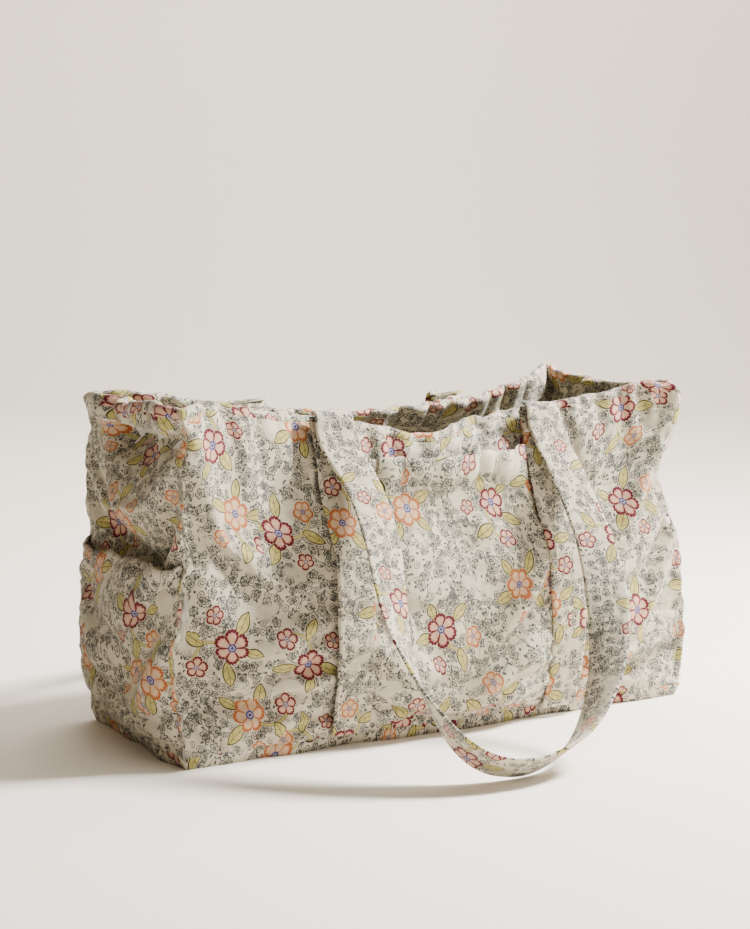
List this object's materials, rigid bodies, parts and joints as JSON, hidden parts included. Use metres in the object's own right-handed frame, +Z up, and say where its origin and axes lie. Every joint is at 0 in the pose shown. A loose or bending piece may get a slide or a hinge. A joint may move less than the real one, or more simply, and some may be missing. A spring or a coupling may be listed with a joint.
{
  "type": "knitting bag",
  "caption": "Soft padded tote for knitting: boxy cotton body in a small floral print, patch pockets on every side and two long flat carrying straps.",
  "frame": {"origin": "on the floor under the middle of the bag, midway between the end seams and between front and back", "axes": "+X along the bag's length to its right end, -Y out of the front, +Z up"},
  "size_m": [0.5336, 0.544, 0.28],
  "materials": {
    "printed_cotton": "matt off-white cotton with a small floral print",
    "printed_strap": "the same print, folded and topstitched",
    "lining": "plain matt cream cotton",
    "wadding": "soft white polyester wadding",
    "board": "plain matt stiffening sheet",
    "snap_metal": "satin nickel plate"
  },
  "bodies": {
    "bag": {"back_left_strap_run": "printed_strap", "back_lining": "lining", "back_panel": "printed_cotton", "back_pocket": "printed_cotton", "back_right_strap_run": "printed_strap", "back_wadding": "wadding", "base_board": "board", "base_lining": "lining", "base_panel": "printed_cotton", "base_wadding": "wadding", "front_left_strap_run": "printed_strap", "front_lining": "lining", "front_panel": "printed_cotton", "front_pocket": "printed_cotton", "front_right_strap_run": "printed_strap", "front_wadding": "wadding", "left_end_lining": "lining", "left_end_panel": "printed_cotton", "left_end_pocket": "printed_cotton", "left_end_wadding": "wadding", "right_end_lining": "lining", "right_end_panel": "printed_cotton", "right_end_pocket": "printed_cotton", "right_end_wadding": "wadding", "rim_facing": "printed_cotton", "snap_socket": "snap_metal", "snap_stud": "snap_metal"},
    "front_handle": {"front_handle": "printed_strap"},
    "back_handle": {"back_handle": "printed_strap"}
  },
  "joints": [
    {"name": "front_handle_swing", "type": "hinge", "parent": "bag", "child": "front_handle", "pos_m": [0, -0.074, 0.257], "axis": [-1, 0, 0], "range_deg": [0, 152]},
    {"name": "back_handle_swing", "type": "hinge", "parent": "bag", "child": "back_handle", "pos_m": [0, 0.074, 0.257], "axis": [1, 0, 0], "range_deg": [0, 152]}
  ]
}
